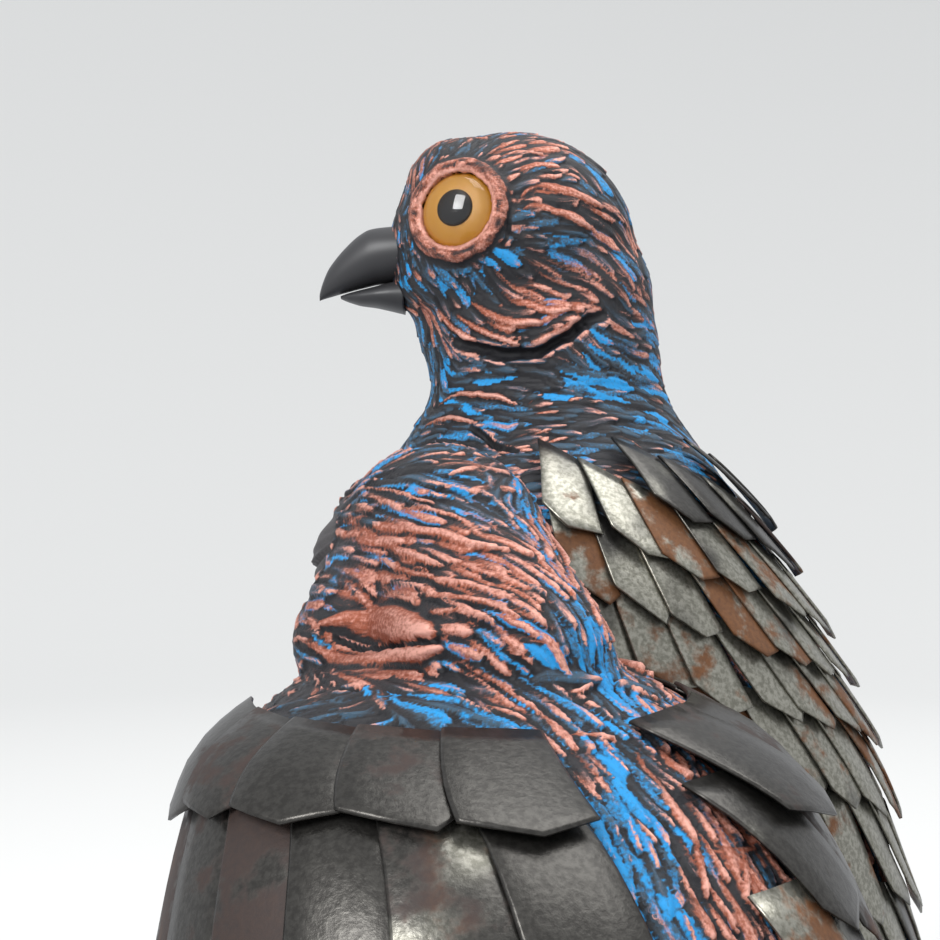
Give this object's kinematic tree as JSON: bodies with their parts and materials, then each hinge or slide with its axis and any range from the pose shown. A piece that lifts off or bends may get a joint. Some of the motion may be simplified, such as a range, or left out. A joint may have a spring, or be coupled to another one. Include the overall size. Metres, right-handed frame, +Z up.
{
  "type": "dove sculpture",
  "caption": "Two nestled doves on a low round base: clay bodies painted black, blue and copper, amber glass eyes, and wings and tails of cut, rusted sheet-steel feathers.",
  "frame": {"origin": "centre of the base's underside", "axes": "+Z up; the taller dove faces -X, and the nestling dove stands on its -Y side"},
  "size_m": [0.188, 0.1974, 0.2164],
  "materials": {
    "painted_clay": "modelled clay, carved in feather strokes, painted black and blue and dry-brushed with copper",
    "feather_steel": "cut sheet steel, heat-darkened and rusted in patches",
    "eye_glass": "clear domed glass over a painted amber iris",
    "dark_wood": "dark stained, satin"
  },
  "bodies": {
    "root": {"base": "dark_wood", "tall_dove_body": "painted_clay", "nestling_dove_body": "painted_clay", "tall_dove_left_eye": "eye_glass", "tall_dove_right_eye": "eye_glass", "tall_dove_left_wing_row_1": "feather_steel", "tall_dove_left_wing_row_2": "feather_steel", "tall_dove_left_wing_row_3": "feather_steel", "tall_dove_left_wing_row_4": "feather_steel", "tall_dove_left_wing_row_5": "feather_steel", "tall_dove_left_wing_row_6": "feather_steel", "tall_dove_left_wing_row_7": "feather_steel", "tall_dove_left_wing_row_8": "feather_steel", "tall_dove_left_wing_row_9": "feather_steel", "tall_dove_right_wing_row_1": "feather_steel", "tall_dove_right_wing_row_2": "feather_steel", "tall_dove_right_wing_row_3": "feather_steel", "tall_dove_right_wing_row_4": "feather_steel", "tall_dove_right_wing_row_5": "feather_steel", "tall_dove_right_wing_row_6": "feather_steel", "tall_dove_right_wing_row_7": "feather_steel", "tall_dove_right_wing_row_8": "feather_steel", "tall_dove_right_wing_row_9": "feather_steel", "nestling_dove_left_wing_row_1": "feather_steel", "nestling_dove_left_wing_row_2": "feather_steel", "nestling_dove_left_wing_row_3": "feather_steel", "nestling_dove_left_wing_row_4": "feather_steel", "nestling_dove_left_wing_row_5": "feather_steel", "nestling_dove_left_wing_row_6": "feather_steel", "nestling_dove_right_wing_row_1": "feather_steel", "nestling_dove_right_wing_row_2": "feather_steel", "nestling_dove_right_wing_row_3": "feather_steel", "nestling_dove_right_wing_row_4": "feather_steel", "nestling_dove_right_wing_row_5": "feather_steel", "nestling_dove_right_wing_row_6": "feather_steel", "tall_dove_tail_feather_1": "feather_steel", "tall_dove_tail_feather_2": "feather_steel", "tall_dove_tail_feather_3": "feather_steel", "tall_dove_tail_feather_4": "feather_steel", "tall_dove_tail_feather_5": "feather_steel", "nestling_dove_tail_feather_1": "feather_steel", "nestling_dove_tail_feather_2": "feather_steel", "nestling_dove_tail_feather_3": "feather_steel", "nestling_dove_tail_feather_4": "feather_steel", "nestling_dove_tail_feather_5": "feather_steel"}
  },
  "joints": []
}
